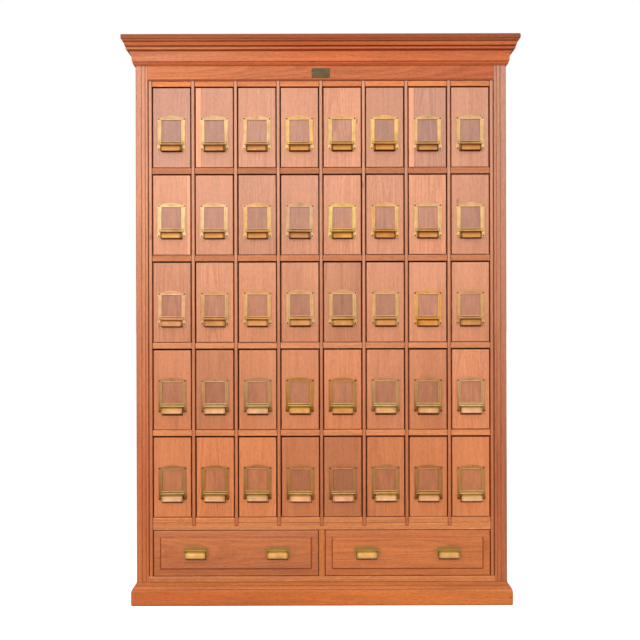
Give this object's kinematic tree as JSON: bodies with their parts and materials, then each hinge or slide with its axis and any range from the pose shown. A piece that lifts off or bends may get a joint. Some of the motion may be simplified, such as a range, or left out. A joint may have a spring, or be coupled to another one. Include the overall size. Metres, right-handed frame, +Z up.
{
  "type": "card catalog cabinet",
  "caption": "Tall oak filing cabinet: a lattice of small tall drawers with brass label pulls above low wide drawers with cup pulls, between a moulded plinth and a crown moulding.",
  "frame": {"origin": "centre of the bounding box's bottom face, on the floor", "axes": "+Z up; the drawers face -Y and slide out along -Y; +X to the viewer's right when facing the drawers"},
  "size_m": [1.167, 0.446, 1.677],
  "materials": {
    "case_oak": "warm orange-brown oak, clear satin finish, plain open grain",
    "drawer_oak": "lighter pinkish-tan oak, clear satin finish, upright grain",
    "inner_oak": "unstained oak, sanded and unpolished",
    "brass": "cast brass, worn bright on the edges and dull olive in the recesses",
    "aged_brass": "dull aged brass"
  },
  "bodies": {
    "cabinet": {"left_stile": "case_oak", "right_stile": "case_oak", "left_side_panel": "case_oak", "right_side_panel": "case_oak", "back_panel": "inner_oak", "top_board": "case_oak", "crown_moulding": "case_oak", "frieze_rail": "case_oak", "nameplate": "aged_brass", "drawer_lattice": "case_oak", "lower_shelf": "case_oak", "centre_divider": "case_oak", "bottom_board": "case_oak", "plinth": "case_oak"},
    "large_drawer_left": {"large_drawer_left": "case_oak", "cup_pull_1": "brass", "cup_pull_2": "brass"},
    "large_drawer_right": {"large_drawer_right": "case_oak", "cup_pull_3": "brass", "cup_pull_4": "brass"},
    "drawer_r1_c1": {"drawer_r1_c1": "drawer_oak"},
    "drawer_r1_c2": {"drawer_r1_c2": "drawer_oak"},
    "drawer_r1_c3": {"drawer_r1_c3": "drawer_oak"},
    "drawer_r1_c4": {"drawer_r1_c4": "drawer_oak"},
    "drawer_r1_c5": {"drawer_r1_c5": "drawer_oak"},
    "drawer_r1_c6": {"drawer_r1_c6": "drawer_oak"},
    "drawer_r1_c7": {"drawer_r1_c7": "drawer_oak"},
    "drawer_r1_c8": {"drawer_r1_c8": "drawer_oak"},
    "drawer_r2_c1": {"drawer_r2_c1": "drawer_oak"},
    "drawer_r2_c2": {"drawer_r2_c2": "drawer_oak"},
    "drawer_r2_c3": {"drawer_r2_c3": "drawer_oak"},
    "drawer_r2_c4": {"drawer_r2_c4": "drawer_oak"},
    "drawer_r2_c5": {"drawer_r2_c5": "drawer_oak"},
    "drawer_r2_c6": {"drawer_r2_c6": "drawer_oak"},
    "drawer_r2_c7": {"drawer_r2_c7": "drawer_oak"},
    "drawer_r2_c8": {"drawer_r2_c8": "drawer_oak"},
    "drawer_r3_c1": {"drawer_r3_c1": "drawer_oak"},
    "drawer_r3_c2": {"drawer_r3_c2": "drawer_oak"},
    "drawer_r3_c3": {"drawer_r3_c3": "drawer_oak"},
    "drawer_r3_c4": {"drawer_r3_c4": "drawer_oak"},
    "drawer_r3_c5": {"drawer_r3_c5": "drawer_oak"},
    "drawer_r3_c6": {"drawer_r3_c6": "drawer_oak"},
    "drawer_r3_c7": {"drawer_r3_c7": "drawer_oak"},
    "drawer_r3_c8": {"drawer_r3_c8": "drawer_oak"},
    "drawer_r4_c1": {"drawer_r4_c1": "drawer_oak"},
    "drawer_r4_c2": {"drawer_r4_c2": "drawer_oak"},
    "drawer_r4_c3": {"drawer_r4_c3": "drawer_oak"},
    "drawer_r4_c4": {"drawer_r4_c4": "drawer_oak"},
    "drawer_r4_c5": {"drawer_r4_c5": "drawer_oak"},
    "drawer_r4_c6": {"drawer_r4_c6": "drawer_oak"},
    "drawer_r4_c7": {"drawer_r4_c7": "drawer_oak"},
    "drawer_r4_c8": {"drawer_r4_c8": "drawer_oak"},
    "drawer_r5_c1": {"drawer_r5_c1": "drawer_oak"},
    "drawer_r5_c2": {"drawer_r5_c2": "drawer_oak"},
    "drawer_r5_c3": {"drawer_r5_c3": "drawer_oak"},
    "drawer_r5_c4": {"drawer_r5_c4": "drawer_oak"},
    "drawer_r5_c5": {"drawer_r5_c5": "drawer_oak"},
    "drawer_r5_c6": {"drawer_r5_c6": "drawer_oak"},
    "drawer_r5_c7": {"drawer_r5_c7": "drawer_oak"},
    "drawer_r5_c8": {"drawer_r5_c8": "drawer_oak"}
  },
  "joints": [
    {"name": "large_drawer_left_slide", "type": "slide", "parent": "cabinet", "child": "large_drawer_left", "axis": [0, -1, 0], "range_m": [0, 0.28]},
    {"name": "large_drawer_right_slide", "type": "slide", "parent": "cabinet", "child": "large_drawer_right", "axis": [0, -1, 0], "range_m": [0, 0.28]},
    {"name": "drawer_r1_c1_slide", "type": "slide", "parent": "cabinet", "child": "drawer_r1_c1", "axis": [0, -1, 0], "range_m": [0, 0.3]},
    {"name": "drawer_r1_c2_slide", "type": "slide", "parent": "cabinet", "child": "drawer_r1_c2", "axis": [0, -1, 0], "range_m": [0, 0.3]},
    {"name": "drawer_r1_c3_slide", "type": "slide", "parent": "cabinet", "child": "drawer_r1_c3", "axis": [0, -1, 0], "range_m": [0, 0.3]},
    {"name": "drawer_r1_c4_slide", "type": "slide", "parent": "cabinet", "child": "drawer_r1_c4", "axis": [0, -1, 0], "range_m": [0, 0.3]},
    {"name": "drawer_r1_c5_slide", "type": "slide", "parent": "cabinet", "child": "drawer_r1_c5", "axis": [0, -1, 0], "range_m": [0, 0.3]},
    {"name": "drawer_r1_c6_slide", "type": "slide", "parent": "cabinet", "child": "drawer_r1_c6", "axis": [0, -1, 0], "range_m": [0, 0.3]},
    {"name": "drawer_r1_c7_slide", "type": "slide", "parent": "cabinet", "child": "drawer_r1_c7", "axis": [0, -1, 0], "range_m": [0, 0.3]},
    {"name": "drawer_r1_c8_slide", "type": "slide", "parent": "cabinet", "child": "drawer_r1_c8", "axis": [0, -1, 0], "range_m": [0, 0.3]},
    {"name": "drawer_r2_c1_slide", "type": "slide", "parent": "cabinet", "child": "drawer_r2_c1", "axis": [0, -1, 0], "range_m": [0, 0.3]},
    {"name": "drawer_r2_c2_slide", "type": "slide", "parent": "cabinet", "child": "drawer_r2_c2", "axis": [0, -1, 0], "range_m": [0, 0.3]},
    {"name": "drawer_r2_c3_slide", "type": "slide", "parent": "cabinet", "child": "drawer_r2_c3", "axis": [0, -1, 0], "range_m": [0, 0.3]},
    {"name": "drawer_r2_c4_slide", "type": "slide", "parent": "cabinet", "child": "drawer_r2_c4", "axis": [0, -1, 0], "range_m": [0, 0.3]},
    {"name": "drawer_r2_c5_slide", "type": "slide", "parent": "cabinet", "child": "drawer_r2_c5", "axis": [0, -1, 0], "range_m": [0, 0.3]},
    {"name": "drawer_r2_c6_slide", "type": "slide", "parent": "cabinet", "child": "drawer_r2_c6", "axis": [0, -1, 0], "range_m": [0, 0.3]},
    {"name": "drawer_r2_c7_slide", "type": "slide", "parent": "cabinet", "child": "drawer_r2_c7", "axis": [0, -1, 0], "range_m": [0, 0.3]},
    {"name": "drawer_r2_c8_slide", "type": "slide", "parent": "cabinet", "child": "drawer_r2_c8", "axis": [0, -1, 0], "range_m": [0, 0.3]},
    {"name": "drawer_r3_c1_slide", "type": "slide", "parent": "cabinet", "child": "drawer_r3_c1", "axis": [0, -1, 0], "range_m": [0, 0.3]},
    {"name": "drawer_r3_c2_slide", "type": "slide", "parent": "cabinet", "child": "drawer_r3_c2", "axis": [0, -1, 0], "range_m": [0, 0.3]},
    {"name": "drawer_r3_c3_slide", "type": "slide", "parent": "cabinet", "child": "drawer_r3_c3", "axis": [0, -1, 0], "range_m": [0, 0.3]},
    {"name": "drawer_r3_c4_slide", "type": "slide", "parent": "cabinet", "child": "drawer_r3_c4", "axis": [0, -1, 0], "range_m": [0, 0.3]},
    {"name": "drawer_r3_c5_slide", "type": "slide", "parent": "cabinet", "child": "drawer_r3_c5", "axis": [0, -1, 0], "range_m": [0, 0.3]},
    {"name": "drawer_r3_c6_slide", "type": "slide", "parent": "cabinet", "child": "drawer_r3_c6", "axis": [0, -1, 0], "range_m": [0, 0.3]},
    {"name": "drawer_r3_c7_slide", "type": "slide", "parent": "cabinet", "child": "drawer_r3_c7", "axis": [0, -1, 0], "range_m": [0, 0.3]},
    {"name": "drawer_r3_c8_slide", "type": "slide", "parent": "cabinet", "child": "drawer_r3_c8", "axis": [0, -1, 0], "range_m": [0, 0.3]},
    {"name": "drawer_r4_c1_slide", "type": "slide", "parent": "cabinet", "child": "drawer_r4_c1", "axis": [0, -1, 0], "range_m": [0, 0.3]},
    {"name": "drawer_r4_c2_slide", "type": "slide", "parent": "cabinet", "child": "drawer_r4_c2", "axis": [0, -1, 0], "range_m": [0, 0.3]},
    {"name": "drawer_r4_c3_slide", "type": "slide", "parent": "cabinet", "child": "drawer_r4_c3", "axis": [0, -1, 0], "range_m": [0, 0.3]},
    {"name": "drawer_r4_c4_slide", "type": "slide", "parent": "cabinet", "child": "drawer_r4_c4", "axis": [0, -1, 0], "range_m": [0, 0.3]},
    {"name": "drawer_r4_c5_slide", "type": "slide", "parent": "cabinet", "child": "drawer_r4_c5", "axis": [0, -1, 0], "range_m": [0, 0.3]},
    {"name": "drawer_r4_c6_slide", "type": "slide", "parent": "cabinet", "child": "drawer_r4_c6", "axis": [0, -1, 0], "range_m": [0, 0.3]},
    {"name": "drawer_r4_c7_slide", "type": "slide", "parent": "cabinet", "child": "drawer_r4_c7", "axis": [0, -1, 0], "range_m": [0, 0.3]},
    {"name": "drawer_r4_c8_slide", "type": "slide", "parent": "cabinet", "child": "drawer_r4_c8", "axis": [0, -1, 0], "range_m": [0, 0.3]},
    {"name": "drawer_r5_c1_slide", "type": "slide", "parent": "cabinet", "child": "drawer_r5_c1", "axis": [0, -1, 0], "range_m": [0, 0.3]},
    {"name": "drawer_r5_c2_slide", "type": "slide", "parent": "cabinet", "child": "drawer_r5_c2", "axis": [0, -1, 0], "range_m": [0, 0.3]},
    {"name": "drawer_r5_c3_slide", "type": "slide", "parent": "cabinet", "child": "drawer_r5_c3", "axis": [0, -1, 0], "range_m": [0, 0.3]},
    {"name": "drawer_r5_c4_slide", "type": "slide", "parent": "cabinet", "child": "drawer_r5_c4", "axis": [0, -1, 0], "range_m": [0, 0.3]},
    {"name": "drawer_r5_c5_slide", "type": "slide", "parent": "cabinet", "child": "drawer_r5_c5", "axis": [0, -1, 0], "range_m": [0, 0.3]},
    {"name": "drawer_r5_c6_slide", "type": "slide", "parent": "cabinet", "child": "drawer_r5_c6", "axis": [0, -1, 0], "range_m": [0, 0.3]},
    {"name": "drawer_r5_c7_slide", "type": "slide", "parent": "cabinet", "child": "drawer_r5_c7", "axis": [0, -1, 0], "range_m": [0, 0.3]},
    {"name": "drawer_r5_c8_slide", "type": "slide", "parent": "cabinet", "child": "drawer_r5_c8", "axis": [0, -1, 0], "range_m": [0, 0.3]}
  ]
}
